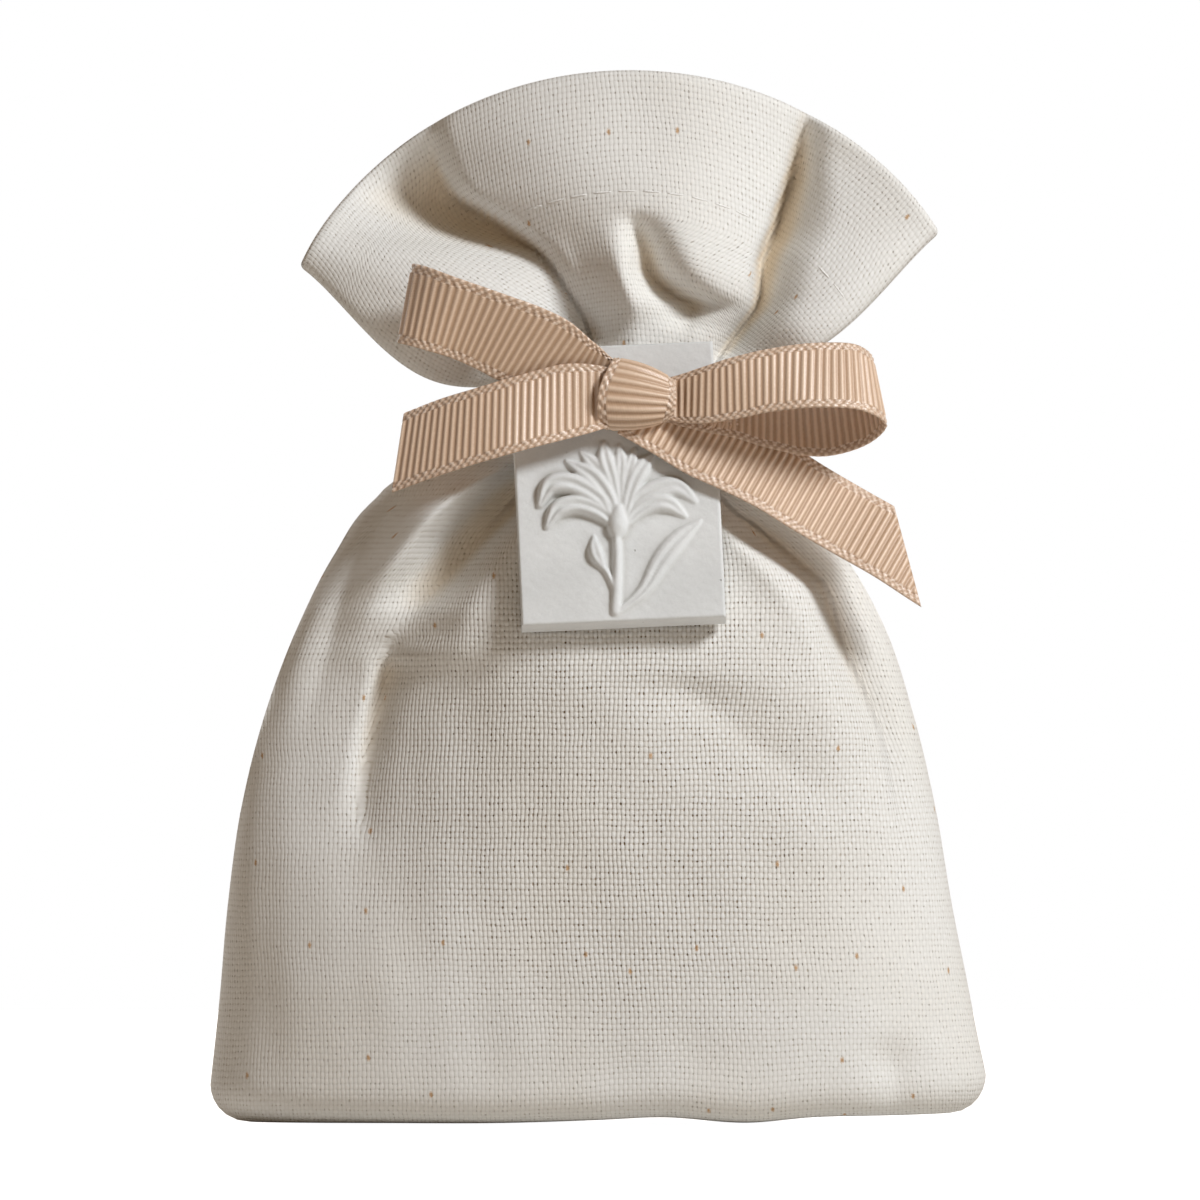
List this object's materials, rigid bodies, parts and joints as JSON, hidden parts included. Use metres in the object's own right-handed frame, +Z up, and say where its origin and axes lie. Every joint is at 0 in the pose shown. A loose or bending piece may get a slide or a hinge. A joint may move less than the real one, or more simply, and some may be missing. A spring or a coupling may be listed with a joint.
{
  "type": "scented sachet",
  "caption": "Drawstring-shaped canvas sachet tied at the neck with a grosgrain ribbon bow that carries a swinging plaster tag with a flower relief; it stands on its filled base.",
  "frame": {"origin": "middle of the flat base that the filled bag stands on", "axes": "+Z up through the neck, the front with the bow and the tag faces -Y, +X to the right as seen from the front"},
  "size_m": [0.1039, 0.0435, 0.1408],
  "materials": {
    "canvas": "natural plain-weave cotton canvas with slubs",
    "grosgrain": "ribbed ribbon with a soft sheen",
    "plaster": "matte cast plaster",
    "nonwoven": "thin non-woven web",
    "granules": "scented plant granules"
  },
  "bodies": {
    "sachet": {"bag_cloth": "canvas", "pouch_back_web": "nonwoven", "pouch_front_web": "nonwoven", "scent_granules": "granules", "ribbon_neck_band": "grosgrain", "ribbon_tag_strand": "grosgrain", "ribbon_knot": "grosgrain", "ribbon_left_loop": "grosgrain", "ribbon_right_loop": "grosgrain", "ribbon_right_tail": "grosgrain"},
    "tag": {"plaster_tag": "plaster"},
    "left_tail": {"ribbon_left_tail": "grosgrain"}
  },
  "joints": [
    {"name": "tag_swing", "type": "hinge", "parent": "sachet", "child": "tag", "pos_m": [0.0018, -0.0087, 0.0952], "axis": [0, -0.9698, 0.244], "range_deg": [-15, 15]},
    {"name": "left_tail_lift", "type": "hinge", "parent": "sachet", "child": "left_tail", "pos_m": [-0.0007, -0.01796, 0.0971], "axis": [0, 0.11, 0.9939], "range_deg": [0, 35], "stiffness_Nm_per_rad": 0.0005}
  ]
}
